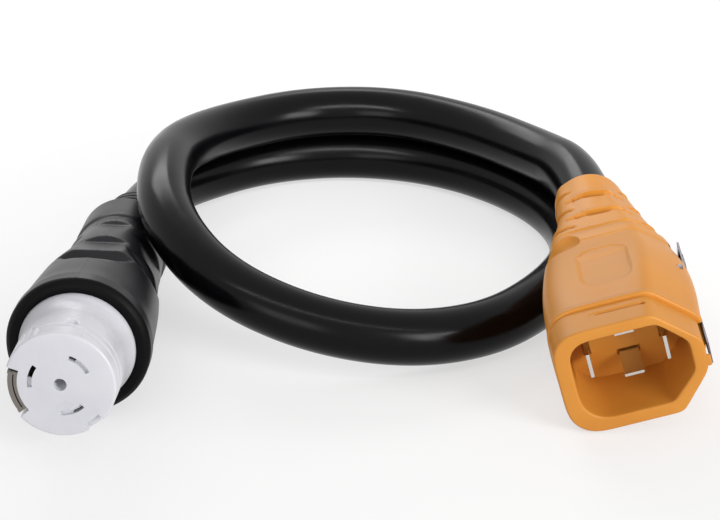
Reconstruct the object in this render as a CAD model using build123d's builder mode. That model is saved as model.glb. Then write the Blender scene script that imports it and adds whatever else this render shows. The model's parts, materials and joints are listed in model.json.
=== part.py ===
"""Power adapter lead for a caravan: a twist-lock end, a heavy cable and an orange hooded end.

Millimetres, +Z up. The origin is on the floor, at the middle of the two ends' footprint.
Each end is drawn from its mating face: x to the face's right, y up, z out of the face.
A depth is measured from that face back towards the cable.
"""

import os
from math import atan2, cos, degrees, pi, radians, sin, tan

from build123d import *

os.makedirs("parts", exist_ok=True)

# ---- cable ----
cable_diameter = 28.5
wire_radius = 3.15
wire_circle = 8.3            # radius of the circle that the four conductors lie on
jacket_clearance = 0.15
wire_clearance = 0.05
fit_gap = 0.1                # between a piece and the pocket that it seats in

# ---- crimp barrels, the same at both ends ----
barrel_radius = 4.6
barrel_length = 14.4
barrel_clearance = 0.2
web_thickness = 3.0
wire_insertion = 11.0        # how far a conductor reaches into its barrel

# ---- twist-lock end: where it lies ----
lock_x, lock_y = -137.31, -106.8
lock_yaw = -4.4

# ---- twist-lock end: white nose ----
nose_radius = 26.3
nose_straight = 29.0         # the nose widens from here back to its base
nose_length = 41.0
nose_flare = 0.55            # slope at which the nose meets its base
base_radius = 29.4
base_length = 17.0
nose_edge = 0.8              # rounding of the nose's front edge
pilot_radius = 3.1
pilot_depth = 12.0
slot_circle = 14.5           # radius of the middle of the curved slots
slot_width = 2.3
slot_span = 45.0
slot_lip = 3.0               # thickness of the face that the slots go through
pocket_span = 52.0
pocket_side = 1.4            # room on each side of the slot, behind the face
slot_angles = (165.0, 49.0, -68.0)
notch_angle = 192.0
notch_span = 60.0
notch_depth = 6.0
notch_length = 30.0
small_notch_angle = 309.0
small_notch_span = 22.0
small_notch_depth = 3.8
small_notch_length = 5.0

# ---- twist-lock end: contacts ----
leaf_thickness = 1.2
leaf_span = 44.0
leaf_recess = 1.0            # from the back of the slotted face to the leaf
leaf_offset = 1.12           # leaf's inner face beyond the slot's middle
strip_inner = 20.5
strip_thickness = 1.6
strip_span = 52.0
strip_fold = 3.2             # height of the folded edges of the ground strip
strip_front = 1.0
line_barrels = (135.0, 45.0, -45.0)
ground_barrel = 225.0
web_side = 5.0               # angle by which a web runs past its barrel's middle

# ---- twist-lock end: carrier and boot ----
carrier_gap = 0.3
carrier_radius = 27.0
boot_front = 42.0
lead_in = 0.8
face_width = 2.2             # flat ring at the boot's front
rim_radius = 35.2
rim_bevel = 3.0
rim_length = 10.0
bell_points = [(60.0, 34.2), (75.0, 33.0), (92.0, 31.5)]      # (depth, radius)
bell_slopes = (0.11, 0.14)   # at the rim and at the bell's end
bell_end = 110.0
bell_end_radius = 29.2
bell_edge = 0.6
grip_step = 3.0              # length of the step down from the bell to the grip
grip_front_radius = 27.2
grip_rear_radius = 23.4
collar_front = 159.0
collar_radius = 24.4
collar_length = 25.0
collar_bevel = 2.0
relief_step = 5.0            # length of the step down from the collar to the strain relief
relief_radius = 19.0
relief_end_radius = 15.9
relief_edge = 0.8
lock_length = 216.0
jacket_grip = 20.0           # how far the jacket reaches into each end
bundle_clearance = 0.75
relief_grooves = 4
relief_pitch = 5.8
relief_groove_width = 2.6
relief_groove_depth = 1.4
relief_first = 194.0

# rows of the grip: (depth, height) along the middle of one flat side
top_rows = [(77.0, 33.0), (84.0, 28.6), (92.0, 25.6), (101.0, 27.4), (119.5, 24.6), (127.0, 25.9)]
top_rows += [(149.0, 23.2), (155.0, 24.0), (158.5, 23.6)]
side_rows = [(93.5, 31.6), (101.0, 28.0), (109.0, 25.4), (117.0, 26.6), (136.0, 23.8), (143.0, 24.8)]
side_rows += [(154.0, 23.0), (158.5, 23.5)]
grip_half_width = 22.0
grip_reach = 42.0

# ---- hooded end: where it lies ----
plug_x, plug_y, plug_z = 130.39, -86.9, 33.93
plug_yaw, plug_pitch, plug_roll = 2.96, -5.5, 15.4

# ---- hooded end: shroud and cavity ----
shroud_length = 18.0
shroud_left, shroud_right = 35.3, 35.5
shroud_top, shroud_bottom = 30.3, 29.2
cavity_left, cavity_right = 27.6, 28.8
cavity_top, cavity_bottom = 24.2, 22.0
cavity_depth = 33.8
hood_cut = 21.0              # upper right corner, cut off at 45 degrees
hood_cut_x, hood_cut_y = 16.2, 21.2          # lower right corner, cut off
hood_corners = (12.0, 6.0, 6.0, 6.0, 6.0, 15.0)
cavity_cut_x = 13.3
cavity_cut_top, cavity_cut_low = 14.0, 15.0
cavity_corners = (9.0, 3.0, 3.0, 3.0, 3.0, 14.0)
spigot_wall = 1.6
vent_width, vent_length, vent_depth = 2.0, 26.8, 1.2
vent_place = 12.0
guard_length, guard_height, guard_reach = 1.2, 9.0, 38.4
guard_y = -1.5

# ---- hooded end: carrier and blades ----
carrier_plate = 16.0
blade_tip = 13.5
side_blade_thickness, side_blade_height, side_blade_y = 1.8, 13.6, 0.6
left_blade_x, right_blade_x = -18.9, 18.6
top_blade_width, top_blade_thickness = 9.4, 1.5
top_blade_x, top_blade_y = 0.5, 14.9
ground_blade_width, ground_blade_thickness = 9.6, 1.6
ground_blade_x, ground_blade_y = 0.8, -9.7
blade_clearance = 0.05
slot_relief, slot_relief_depth = 0.8, 2.0    # wider mouth of each blade's slot
web_half_width = 3.4
web_lap = 0.8                # how far a web reaches past its barrel's edge

# ---- hooded end: body ----
# depth, left, right, top, bottom
body_sections = [
    (18.0, 35.6, 37.6, 31.6, 30.0),
    (45.0, 35.0, 39.4, 30.0, 29.2),
    (68.0, 32.6, 38.4, 26.6, 27.2),
    (88.0, 29.2, 33.4, 22.4, 24.0),
    (104.0, 25.2, 26.6, 20.0, 21.6),
    (118.0, 20.6, 21.0, 18.6, 19.4),
    (128.0, 18.2, 18.4, 17.6, 18.0),
]
neck_front_radius = 18.8
neck_radius = 17.7
neck_front = 116.0
plug_length = 159.3
wire_room = 13.6
neck_slots = (101.0, 110.0, 119.0, 128.0, 137.0, 146.0)
neck_slot_width = 2.8
neck_slot_floor = 15.6
neck_slot_span = 74.0
neck_slot_reach = 30.0
recess_length, recess_width, recess_depth = 34.0, 24.0, 1.0
recess_x, recess_place = -1.5, 48.0
recess_height = 29.6         # height of the top face there
recess_tilt = 7.0            # slope of the top face there
recess_corner = 6.0

# ---- hooded end: latch ----
latch_thickness = 1.0
latch_width = 12.0
latch_side_gap = 0.6
latch_tip = 1.6
latch_bend = 72.0
latch_rear = 91.5
latch_pivot_depth = 60.0
latch_pivot_x = 35.0
latch_eye = 3.0
latch_front_x = 36.7         # inner face of the lever at its tip
latch_middle_x = 37.2        # inner face of the lever from the pivot to the bend
latch_rear_x = 37.4          # inner face of the lever at its rear end
channel_front_floor, channel_rear_floor = 34.6, 30.5
channel_step = 54.0
channel_end_gap = 2.0
pin_radius = 1.5
pin_clearance = 0.05
pin_seat = 0.02
pin_low, pin_high = 13.0, 13.0
pin_hole_reach = 6.0
spring_thickness = 0.6
spring_width = 8.0
spring_front, spring_bend, spring_tip = 58.0, 64.0, 77.0

# ---- cable route, chosen along the floor, up over the collar and round to the hooded end ----
route = [
    (-92.5, 180, 14.25), (-51, 208, 14.25), (-1, 216, 14.25), (48, 203, 14.25), (88, 171.5, 14.25),
    (114.5, 128.5, 14.25), (121, 78, 14.25), (100.5, 32, 14.25), (67.5, -6, 14.25), (23, -25.5, 18.5),
    (-26.5, -25, 28), (-71, -4.5, 41), (-98, 36, 54.5), (-104, 86, 59), (-98.5, 137.5, 53),
    (-73, 182, 45), (-29, 209.5, 43.3), (22.5, 209, 43.5), (67, 182.5, 43.6), (98.5, 145.5, 45.5),
]
end_run = 50.0               # first and last runs, straight out of each end
arc_share = 0.45


def face_plane(centre, yaw, pitch, roll):
    """An end's mating face, turned about the vertical, tipped up and rolled about its own axis."""
    right = Vector(cos(radians(yaw)), sin(radians(yaw)), 0)
    ahead = Vector(sin(radians(yaw)), -cos(radians(yaw)), 0) * cos(radians(pitch))
    return rolled(Plane(centre, right, ahead + Vector(0, 0, sin(radians(pitch)))), roll)


def rolled(face, angle):
    """A face turned about its own axis, counter-clockwise seen from outside."""
    right = face.x_dir * cos(radians(angle)) + face.y_dir * sin(radians(angle))
    return Plane(face.origin, right, face.z_dir)


def half_plane(face):
    """The plane of a turned outline: x is the radius and y runs out of the face along the axis."""
    return Plane(face.origin, face.x_dir, -face.y_dir)


def outline(points):
    """Draws a closed outline of (radius, depth) points on a half plane."""
    with BuildLine() as border:
        Polyline([(radius, -depth) for radius, depth in points], close=True)
    make_face(border.edges())


def turn(face, points, mode=Mode.ADD):
    """Turns an outline of (radius, depth) points about the face's axis."""
    with BuildSketch(half_plane(face)) as profile:
        outline(points)
    revolve(profile.sketch, axis=Axis(face.origin, face.z_dir), mode=mode)


def sector(inner, outer, middle, span):
    """Draws a ring's sector, centred on an angle counted from the right."""
    with BuildLine() as border:
        inside = CenterArc((0, 0), inner, middle - span / 2, span)
        outside = CenterArc((0, 0), outer, middle - span / 2, span)
        Line(inside @ 0, outside @ 0)
        Line(inside @ 1, outside @ 1)
    make_face(border.edges())


def on_circle(radius, angle):
    """A point at that radius and angle."""
    return (radius * cos(radians(angle)), radius * sin(radians(angle)))


def section(left, right, top, bottom, scale=1.0, grow=0.0):
    """Draws the hooded end's section: a rounded box with its two right-hand corners cut off."""
    high = hood_cut * scale
    low_x, low_y = hood_cut_x * scale, hood_cut_y * scale
    corners = [
        (-left, top), (right - high, top), (right, top - high),
        (right, low_y - bottom), (right - low_x, -bottom), (-left, -bottom),
    ]
    with BuildLine() as border:
        FilletPolyline(corners, radius=[corner * scale for corner in hood_corners], close=True)
    make_face(border.edges())
    if grow:
        offset(amount=grow)


def cavity(grow=0.0):
    """Draws the section of the hooded end's cavity."""
    corners = [
        (-cavity_left, cavity_top), (cavity_right - cavity_cut_x, cavity_top),
        (cavity_right, cavity_top - cavity_cut_top), (cavity_right, cavity_cut_low - cavity_bottom),
        (cavity_right - cavity_cut_x, -cavity_bottom), (-cavity_left, -cavity_bottom),
    ]
    with BuildLine() as border:
        FilletPolyline(corners, radius=cavity_corners, close=True)
    make_face(border.edges())
    if grow:
        offset(amount=grow)


# ---- where the two ends stand ----
rim_rest = boot_front + rim_length                  # the rim and the collar carry the twist-lock end
collar_rest = collar_front + collar_length
lock_pitch = degrees(atan2(rim_radius - collar_radius, collar_rest - rim_rest))
lock_z = rim_rest * sin(radians(lock_pitch)) + rim_radius * cos(radians(lock_pitch))
lock_face = face_plane((lock_x, lock_y, lock_z), lock_yaw, lock_pitch, 0)
plug_face = face_plane((plug_x, plug_y, plug_z), plug_yaw, plug_pitch, plug_roll)

# ---- depths that follow from the sizes ----
base_back = nose_length + base_length
web_front = base_back + carrier_gap
web_back = web_front + web_thickness
lock_carrier_front = web_back + carrier_gap
lock_carrier_back = web_back + barrel_length
lock_shoulder = lock_length - jacket_grip
relief_front = collar_rest + relief_step
carrier_front = cavity_depth + fit_gap
carrier_back = carrier_front + carrier_plate
plug_web_front = carrier_back + carrier_gap
plug_web_back = plug_web_front + web_thickness
plug_barrel_back = plug_web_back + barrel_length
plug_shoulder = plug_length - jacket_grip
bundle_radius = wire_circle + wire_radius + bundle_clearance
jacket_bore = cable_diameter / 2 + jacket_clearance
barrel_bore = wire_radius + wire_clearance


def barrel(face, angle, depth):
    """Adds a crimp barrel for one conductor, behind that depth."""
    with BuildSketch(face.offset(-depth)) as ring:
        with Locations(on_circle(wire_circle, angle)):
            Circle(barrel_radius)
            Circle(barrel_bore, mode=Mode.SUBTRACT)
    extrude(ring.sketch, amount=-barrel_length)


# ================= twist-lock end =================

with BuildPart() as lock_nose:
    with BuildSketch(half_plane(lock_face)):
        with BuildLine():
            Polyline(
                (base_radius, -nose_length), (base_radius, -base_back), (0, -base_back), (0, 0),
                (nose_radius - nose_edge, 0), (nose_radius, -nose_edge), (nose_radius, -nose_straight),
            )
            Spline(
                (nose_radius, -nose_straight), (base_radius, -nose_length),
                tangents=((0, -1), (nose_flare, -1)),
            )
        make_face()
    revolve(axis=Axis(lock_face.origin, lock_face.z_dir))
    with BuildSketch(lock_face):
        for angle in slot_angles:
            sector(slot_circle - slot_width / 2, slot_circle + slot_width / 2, angle, slot_span)
    extrude(amount=-slot_lip, mode=Mode.SUBTRACT)
    with BuildSketch(lock_face.offset(-slot_lip)):
        for angle in slot_angles:
            inner = slot_circle - slot_width / 2 - pocket_side
            outer = slot_circle + slot_width / 2 + pocket_side
            sector(inner, outer, angle, pocket_span)
    extrude(amount=-(base_back - slot_lip), mode=Mode.SUBTRACT)
    with BuildSketch(lock_face):
        Circle(pilot_radius)
    extrude(amount=-pilot_depth, mode=Mode.SUBTRACT)
    with BuildSketch(lock_face):
        sector(nose_radius - notch_depth, base_radius + 1, notch_angle, notch_span)
    extrude(amount=-notch_length, mode=Mode.SUBTRACT)
    with BuildSketch(lock_face.offset(-notch_length)):
        strip_room = strip_inner + strip_thickness + strip_fold
        sector(nose_radius - notch_depth, strip_room + fit_gap, notch_angle, notch_span)
    extrude(amount=-(base_back - notch_length), mode=Mode.SUBTRACT)
    with BuildSketch(lock_face):
        sector(nose_radius - small_notch_depth, base_radius, small_notch_angle, small_notch_span)
    extrude(amount=-small_notch_length, mode=Mode.SUBTRACT)
lock_nose.part.label = "lock_nose"
export_step(lock_nose.part, "parts/lock_nose.step")

for number, (angle, barrel_angle) in enumerate(zip(slot_angles, line_barrels), 1):
    with BuildPart() as line_contact:
        leaf_front = slot_lip + leaf_recess
        leaf_inner = slot_circle + leaf_offset
        with BuildSketch(lock_face.offset(-leaf_front)):
            sector(leaf_inner, leaf_inner + leaf_thickness, angle, leaf_span)
        extrude(amount=-(web_back - leaf_front))
        first = min(barrel_angle - web_side, angle - leaf_span / 2)
        last = max(barrel_angle + web_side, angle + leaf_span / 2)
        with BuildSketch(lock_face.offset(-web_front)):
            sector(wire_circle, leaf_inner + leaf_thickness, (first + last) / 2, last - first)
        extrude(amount=-web_thickness)
        barrel(lock_face, barrel_angle, web_back)
    line_contact.part.label = f"line_contact_{number}"
    export_step(line_contact.part, f"parts/line_contact_{number}.step")

with BuildPart() as ground_contact:
    strip_outer = strip_inner + strip_thickness
    fold_angle = strip_span / 2 - 2
    with BuildSketch(lock_face.offset(-strip_front)):
        sector(strip_inner, strip_outer, notch_angle, strip_span)
        for side in (-1, 1):
            sector(strip_inner, strip_outer + strip_fold, notch_angle + side * fold_angle, 4)
    extrude(amount=-(web_back - strip_front))
    first = notch_angle + strip_span / 2 - 20
    last = ground_barrel + web_side
    with BuildSketch(lock_face.offset(-web_front)):
        sector(wire_circle, strip_outer, (first + last) / 2, last - first)
    extrude(amount=-web_thickness)
    barrel(lock_face, ground_barrel, web_back)
ground_contact.part.label = "ground_contact"
export_step(ground_contact.part, "parts/ground_contact.step")

with BuildPart() as lock_carrier:
    with BuildSketch(lock_face.offset(-lock_carrier_front)):
        Circle(carrier_radius)
        for angle in (*line_barrels, ground_barrel):
            with Locations(on_circle(wire_circle, angle)):
                Circle(barrel_radius + barrel_clearance, mode=Mode.SUBTRACT)
    extrude(amount=-(lock_carrier_back - lock_carrier_front))
lock_carrier.part.label = "lock_carrier"
export_step(lock_carrier.part, "parts/lock_carrier.step")

with BuildPart() as lock_boot:
    pocket = base_radius + fit_gap
    carrier_pocket = carrier_radius + fit_gap
    pocket_back = base_back + fit_gap
    carrier_seat = lock_carrier_back + fit_gap
    with BuildSketch(half_plane(lock_face)):
        with BuildLine():
            Polyline(
                (bell_end_radius, -bell_end), (bell_end_radius - bell_edge, -bell_end - grip_step / 2),
                (grip_front_radius, -bell_end - grip_step), (grip_rear_radius, -collar_front),
                (collar_radius, -collar_front - collar_bevel), (collar_radius, -collar_rest),
                (collar_radius - collar_bevel, -collar_rest - collar_bevel),
                (relief_radius, -relief_front), (relief_end_radius + relief_edge, -lock_length + relief_edge),
                (relief_end_radius, -lock_length), (jacket_bore, -lock_length),
                (jacket_bore, -lock_shoulder), (bundle_radius, -lock_shoulder),
                (bundle_radius, -carrier_seat), (carrier_pocket, -carrier_seat),
                (carrier_pocket, -pocket_back), (pocket, -pocket_back),
                (pocket, -boot_front - lead_in), (pocket + lead_in, -boot_front),
                (pocket + lead_in + face_width, -boot_front), (rim_radius, -boot_front - rim_bevel),
                (rim_radius, -rim_rest),
            )
            Spline(
                (rim_radius, -rim_rest), *[(radius, -depth) for depth, radius in bell_points],
                (bell_end_radius, -bell_end), tangents=[(-slope, -1) for slope in bell_slopes],
            )
        make_face()
    revolve(axis=Axis(lock_face.origin, lock_face.z_dir))
    for angle in range(30, 390, 60):
        rows = top_rows if angle % 180 == 90 else side_rows
        with BuildSketch(half_plane(rolled(lock_face, angle))):
            outline([(h, s) for s, h in rows] + [(grip_reach, rows[-1][0]), (grip_reach, rows[0][0])])
        extrude(amount=grip_half_width, both=True, mode=Mode.SUBTRACT)
    for groove in range(relief_grooves):
        front = relief_first + groove * relief_pitch
        slope = (relief_radius - relief_end_radius) / (lock_length - relief_front)
        floor = relief_radius - (front - relief_front) * slope - relief_groove_depth
        turn(lock_face, [
            (floor, front), (relief_radius + 2, front),
            (relief_radius + 2, front + relief_groove_width), (floor, front + relief_groove_width),
        ], Mode.SUBTRACT)
lock_boot.part.label = "lock_boot"
export_step(lock_boot.part, "parts/lock_boot.step")

for number, angle in enumerate((*line_barrels, ground_barrel), 1):
    start = web_back + barrel_length - wire_insertion
    with BuildPart() as lock_wire:
        with BuildSketch(lock_face.offset(-start)):
            with Locations(on_circle(wire_circle, angle)):
                Circle(wire_radius)
        extrude(amount=-(lock_shoulder - fit_gap - start))
    lock_wire.part.label = f"lock_wire_{number}"
    export_step(lock_wire.part, f"parts/lock_wire_{number}.step")

# ================= cable =================

lock_shoulder_plane = lock_face.offset(-lock_shoulder)
plug_shoulder_plane = plug_face.offset(-plug_shoulder)
lock_exit = lock_shoulder_plane.offset(-end_run).origin
plug_exit = plug_shoulder_plane.offset(-end_run).origin
places = [Vector(*point) for point in route]
path_points = [lock_shoulder_plane.origin, lock_exit, *places, plug_exit, plug_shoulder_plane.origin]
radii = []
for before, corner, after in zip(path_points, path_points[1:], path_points[2:]):
    shorter = min((corner - before).length, (after - corner).length)
    half_turn = radians((corner - before).get_angle(after - corner)) / 2
    radii.append(arc_share * shorter / tan(half_turn))

with BuildPart() as cable:
    with BuildLine():
        cable_path = FilletPolyline(path_points, radius=radii)
    with BuildSketch(Plane(cable_path @ 0, z_dir=cable_path % 0)):
        Circle(cable_diameter / 2)
    sweep()
cable.part.label = "cable"
export_step(cable.part, "parts/cable.step")
print("cable length", round(cable_path.length, 2))
print("cable bend radii", [round(radius) for radius in radii])
section_volume = pi * cable_diameter**2 / 4 * cable_path.length
print("cable volume over section times length", round(cable.part.volume / section_volume, 5))

# ================= hooded end =================

with BuildPart() as plug_shroud:
    with BuildSketch(plug_face):
        section(shroud_left, shroud_right, shroud_top, shroud_bottom)
    extrude(amount=-shroud_length)
    with BuildSketch(plug_face.offset(-shroud_length)):
        cavity(spigot_wall)
    extrude(amount=-(cavity_depth - shroud_length))
    with BuildSketch(plug_face):
        with Locations(((shroud_right + guard_reach) / 2 - 1, guard_y)):
            Rectangle(guard_reach - shroud_right + 2, guard_height)
    extrude(amount=-guard_length)
    with BuildSketch(plug_face):
        cavity()
    extrude(amount=-cavity_depth, mode=Mode.SUBTRACT)
    with BuildSketch(Plane(plug_face.origin, plug_face.x_dir, plug_face.y_dir).offset(shroud_top)):
        with Locations((0, vent_place)):
            SlotOverall(vent_length, vent_width)
    extrude(amount=-vent_depth, mode=Mode.SUBTRACT)
plug_shroud.part.label = "plug_shroud"
export_step(plug_shroud.part, "parts/plug_shroud.step")

# blade sections: centre, width, height, and the angle of each one's barrel
blades = {
    "blade_right": ((right_blade_x, side_blade_y), side_blade_thickness, side_blade_height, 0),
    "blade_top": ((top_blade_x, top_blade_y), top_blade_width, top_blade_thickness, 90),
    "blade_left": ((left_blade_x, side_blade_y), side_blade_thickness, side_blade_height, 180),
    "blade_ground": ((ground_blade_x, ground_blade_y), ground_blade_width, ground_blade_thickness, 270),
}

with BuildPart() as blade_carrier:
    with BuildSketch(plug_face.offset(-carrier_front)):
        cavity(spigot_wall)
    extrude(amount=-carrier_plate)
    for room, depth in ((blade_clearance, carrier_plate), (slot_relief, slot_relief_depth)):
        with BuildSketch(plug_face.offset(-carrier_front)):
            for centre, width, height, angle in blades.values():
                with Locations(centre):
                    Rectangle(width + 2 * room, height + 2 * room)
        extrude(amount=-depth, mode=Mode.SUBTRACT)
blade_carrier.part.label = "blade_carrier"
export_step(blade_carrier.part, "parts/blade_carrier.step")

for name, (centre, width, height, angle) in blades.items():
    reach = max(abs(centre[0]), abs(centre[1]))
    inner = wire_circle - barrel_radius + web_lap
    outer = max(reach, wire_circle) + min(width, height) / 2
    with BuildPart() as blade:
        with BuildSketch(plug_face.offset(-blade_tip)):
            with Locations(centre):
                Rectangle(width, height)
        extrude(amount=-(plug_web_back - blade_tip))
        with BuildSketch(rolled(plug_face, angle).offset(-plug_web_front)):
            with Locations(((inner + outer) / 2, 0)):
                Rectangle(outer - inner, 2 * web_half_width)
        extrude(amount=-web_thickness)
        barrel(plug_face, angle, plug_web_back)
    blade.part.label = name
    export_step(blade.part, f"parts/{name}.step")

for number, angle in enumerate((0, 90, 180, 270), 1):
    start = plug_barrel_back - wire_insertion
    with BuildPart() as plug_wire:
        with BuildSketch(plug_face.offset(-start)):
            with Locations(on_circle(wire_circle, angle)):
                Circle(wire_radius)
        extrude(amount=-(plug_shoulder - fit_gap - start))
    plug_wire.part.label = f"plug_wire_{number}"
    export_step(plug_wire.part, f"parts/plug_wire_{number}.step")

with BuildPart() as plug_body:
    for depth, left, right, top, bottom in body_sections:
        with BuildSketch(plug_face.offset(-depth)):
            section(left, right, top, bottom, scale=(top + bottom) / (shroud_top + shroud_bottom))
    loft()
    turn(plug_face, [
        (0, neck_front), (neck_front_radius, neck_front), (neck_radius, plug_length), (0, plug_length),
    ])
    for number, depth in enumerate(neck_slots):
        with BuildSketch(plug_face.offset(-depth)):
            for side in (0, 180):
                sector(neck_slot_floor, neck_slot_reach, side + 90 * (number % 2), neck_slot_span)
        extrude(amount=-neck_slot_width, mode=Mode.SUBTRACT)
    with BuildSketch(plug_face.offset(-shroud_length)):
        cavity(spigot_wall + fit_gap)
    extrude(amount=-(plug_web_back + fit_gap - shroud_length), mode=Mode.SUBTRACT)
    turn(plug_face, [
        (0, plug_web_back), (wire_room, plug_web_back), (wire_room, plug_barrel_back + fit_gap),
        (bundle_radius, plug_barrel_back + wire_room - bundle_radius), (bundle_radius, plug_shoulder),
        (jacket_bore, plug_shoulder), (jacket_bore, plug_length), (0, plug_length),
    ], Mode.SUBTRACT)
    channel = latch_width + 2 * latch_side_gap
    for floor, front, back in (
        (channel_front_floor, shroud_length, channel_step),
        (channel_rear_floor, channel_step, latch_rear + channel_end_gap),
    ):
        with BuildSketch(plug_face.offset(-front)):
            with Locations((floor + guard_reach / 2, 0)):
                Rectangle(guard_reach, channel)
        extrude(amount=-(back - front), mode=Mode.SUBTRACT)
    pivot_line = Plane(plug_face.origin, plug_face.x_dir, -plug_face.y_dir)
    with BuildSketch(pivot_line.offset(pin_low)):
        with Locations((latch_pivot_x, -latch_pivot_depth)):
            Circle(pin_radius + pin_seat)
    extrude(amount=-(pin_low + pin_high + pin_hole_reach), mode=Mode.SUBTRACT)
    floor_height = recess_height - recess_depth
    recess_centre = plug_face.offset(-recess_place).origin + plug_face.y_dir * floor_height
    lean = radians(recess_tilt)
    recess_normal = plug_face.y_dir * cos(lean) - plug_face.z_dir * sin(lean)
    with BuildSketch(Plane(recess_centre, plug_face.x_dir, recess_normal)):
        with Locations((recess_x, 0)):
            RectangleRounded(recess_width, recess_length, recess_corner)
    extrude(amount=shroud_top, mode=Mode.SUBTRACT)
plug_body.part.label = "plug_body"
export_step(plug_body.part, "parts/plug_body.step")

# ================= latch =================

with BuildPart() as latch:
    with BuildSketch(half_plane(plug_face)):
        outline([
            (latch_front_x, latch_tip), (latch_front_x + latch_thickness, latch_tip),
            (latch_middle_x + latch_thickness, latch_pivot_depth - 2 * latch_eye),
            (latch_middle_x + latch_thickness, latch_bend),
            (latch_rear_x + latch_thickness, latch_rear), (latch_rear_x, latch_rear),
            (latch_middle_x, latch_bend), (latch_middle_x, latch_pivot_depth - 2 * latch_eye),
        ])
        with Locations((latch_pivot_x, -latch_pivot_depth)):
            Circle(latch_eye)
            Circle(pin_radius + pin_clearance, mode=Mode.SUBTRACT)
    extrude(amount=latch_width / 2, both=True)
latch.part.label = "latch"
export_step(latch.part, "parts/latch.step")

with BuildPart() as latch_pin:
    with BuildSketch(pivot_line.offset(pin_low)):
        with Locations((latch_pivot_x, -latch_pivot_depth)):
            Circle(pin_radius)
    extrude(amount=-(pin_low + pin_high))
latch_pin.part.label = "latch_pin"
export_step(latch_pin.part, "parts/latch_pin.step")

with BuildPart() as latch_spring:
    slope = (latch_rear_x - latch_middle_x) / (latch_rear - latch_bend)
    spring_top = latch_middle_x + slope * (spring_tip - latch_bend) - fit_gap
    with BuildSketch(half_plane(plug_face)):
        outline([
            (channel_rear_floor, spring_front), (channel_rear_floor, spring_bend),
            (spring_top - spring_thickness, spring_tip), (spring_top, spring_tip),
            (channel_rear_floor + spring_thickness, spring_bend - spring_thickness),
            (channel_rear_floor + spring_thickness, spring_front),
        ])
    extrude(amount=spring_width / 2, both=True)
latch_spring.part.label = "latch_spring"
export_step(latch_spring.part, "parts/latch_spring.step")
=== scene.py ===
"""Caravan power lead: a white twist-lock nose in a black boot, a heavy glossy cable in one loop,
and an orange hooded end with a steel latch. Finished pieces over the fixed CAD frame.

Each end is modelled in millimetres in its own frame: x right, y up and z out of its mating face,
so a depth behind the face is -z. Its matrix then puts it in place, in metres.
"""

import json
import bmesh
import bpy
from math import atan2, cos, hypot, pi, radians, sin, sqrt
from mathutils import Matrix, Vector


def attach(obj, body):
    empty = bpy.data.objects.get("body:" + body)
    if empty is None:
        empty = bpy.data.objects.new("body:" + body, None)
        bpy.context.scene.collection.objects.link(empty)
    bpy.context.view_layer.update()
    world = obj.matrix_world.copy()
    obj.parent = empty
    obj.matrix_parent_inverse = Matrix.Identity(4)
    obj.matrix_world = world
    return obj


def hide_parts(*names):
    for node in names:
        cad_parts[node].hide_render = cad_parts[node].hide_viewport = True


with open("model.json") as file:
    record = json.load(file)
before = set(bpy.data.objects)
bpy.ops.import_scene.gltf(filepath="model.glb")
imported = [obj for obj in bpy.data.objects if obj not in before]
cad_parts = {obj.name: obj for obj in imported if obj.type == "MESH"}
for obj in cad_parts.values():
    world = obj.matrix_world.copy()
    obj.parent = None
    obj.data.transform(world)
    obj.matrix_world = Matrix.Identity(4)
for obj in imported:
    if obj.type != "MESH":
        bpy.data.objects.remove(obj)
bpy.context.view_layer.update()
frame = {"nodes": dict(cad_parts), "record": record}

scene = bpy.context.scene
mount = {row["name"]: row for row in frame["record"]["mounts"]}


def end_frame(on_axis, on_face, ahead, up=None):
    """An end's matrix, from a point on its axis, a point on its face and the way its axis points."""
    axis, middle, face = Vector(ahead).normalized(), Vector(on_axis), Vector(on_face)
    middle = middle + axis * (face - middle).dot(axis)
    if up is None:
        right = Vector((-axis.y, axis.x, 0)).normalized()
    else:
        right = Vector(up).cross(axis).normalized()
    place = Matrix((right, axis.cross(right), axis)).transposed().to_4x4()
    place.translation = middle
    return place @ Matrix.Scale(0.001, 4)


lock_end = end_frame(mount["nose"]["pos_m"], mount["nose_face"]["pos_m"], mount["nose"]["axis"])
plug_end = end_frame(
    mount["hood_blades"]["pos_m"], mount["hood_face"]["pos_m"], mount["hood_blades"]["axis"],
    up=frame["record"]["behaviour"]["joints"][0]["axis"],
)

# ==================== camera ====================

lens_length, sensor_width = 116.5, 36
camera_place, camera_tilt = (0.0015, -1.0457, 0.5720), 63.5

camera = bpy.data.objects.new("camera", bpy.data.cameras.new("camera"))
camera.data.sensor_width = sensor_width
camera.data.lens = lens_length
camera.location = camera_place
camera.rotation_euler = (radians(camera_tilt), 0, 0)
scene.collection.objects.link(camera)
scene.camera = camera

# ==================== material tools ====================


def linear(code):
    """An sRGB hex colour as the linear colour that the shaders use."""
    channels = [int(code[place:place + 2], 16) / 255 for place in (1, 3, 5)]
    return [c / 12.92 if c <= 0.04045 else ((c + 0.055) / 1.055) ** 2.4 for c in channels] + [1.0]


def node(tree, kind, inputs=None, **settings):
    """Adds a node with its settings, and its inputs as plain values or as (node, output) links."""
    made = tree.nodes.new(kind)
    for name, value in settings.items():
        setattr(made, name, value)
    for name, value in (inputs or {}).items():
        if isinstance(value, tuple) and isinstance(value[0], bpy.types.Node):
            tree.links.new(value[0].outputs[value[1]], made.inputs[name])
        else:
            made.inputs[name].default_value = value
    return made


def per_mm(size):
    """The scale of a pattern whose features are that many millimetres apart."""
    return 1000 / size


def new_material(name):
    """An empty node material, and its tree."""
    made = bpy.data.materials.new(name)
    made.use_nodes = True
    made.node_tree.nodes.clear()
    return made, made.node_tree


def spread(tree, noise, low=0.0, high=1.0):
    """The middle of a noise's values, spread over a range."""
    return node(tree, "ShaderNodeMapRange", {
        "Value": (noise, "Fac"), "From Min": 0.3, "From Max": 0.7, "To Min": low, "To Max": high,
    })


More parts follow.
